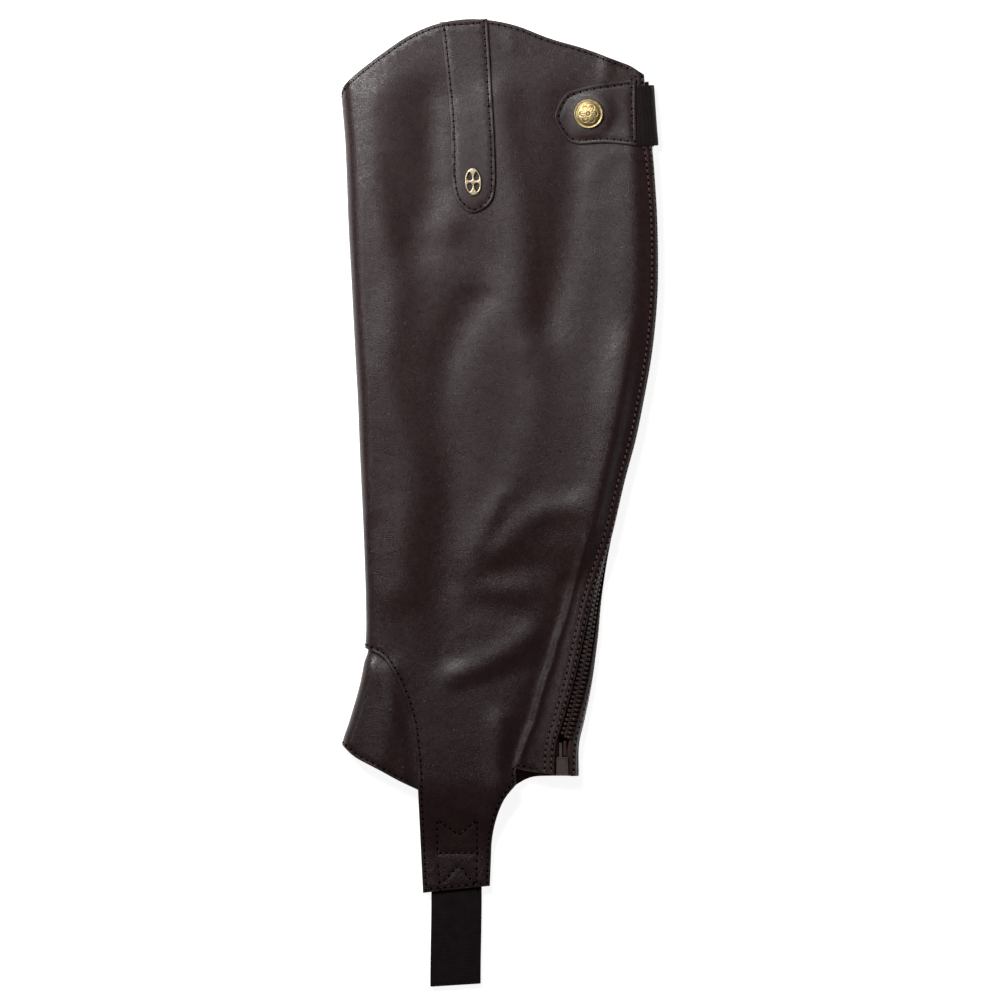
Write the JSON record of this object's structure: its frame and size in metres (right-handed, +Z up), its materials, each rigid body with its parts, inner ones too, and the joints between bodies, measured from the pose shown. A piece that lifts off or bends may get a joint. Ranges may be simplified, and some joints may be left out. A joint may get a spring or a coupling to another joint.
{
  "type": "half chap",
  "caption": "Leather riding half chap lying flat and zipped shut, with a raised top, a back zip under a snap tab, an instep piece and an elastic strap for under the foot.",
  "frame": {"origin": "On the table under the middle of the chap's outline.", "axes": "X is across the chap, from the front fold to the zip; +Y points along the leg to the top; +Z points up off the table, out of the outer side."},
  "size_m": [0.1824, 0.5567, 0.0196],
  "materials": {
    "leather": "dark brown satin leather, finely grained, topstitched",
    "elastic": "black ribbed elastic webbing",
    "gold_metal": "pale gold plated metal, pierced",
    "brass_metal": "antique brass, darkened in the grooves",
    "zip_tape": "dark brown woven zip tape",
    "zip_teeth": "reddish brown moulded teeth",
    "zip_film": "grey brown moulded box at the foot of the zip"
  },
  "bodies": {
    "root": {"leg_panel": "leather", "vamp": "leather", "top_tab": "leather", "closure_tab": "leather", "understrap_elastic": "elastic", "closure_elastic": "elastic", "badge": "gold_metal", "snap_cap": "brass_metal", "snap_stud": "brass_metal", "zip_slider": "brass_metal", "zip_pull": "brass_metal", "zip_tape_outer": "zip_tape", "zip_tape_inner": "zip_tape", "zip_chain": "zip_teeth", "zip_pin": "zip_teeth", "zip_box": "zip_film"}
  },
  "joints": []
}
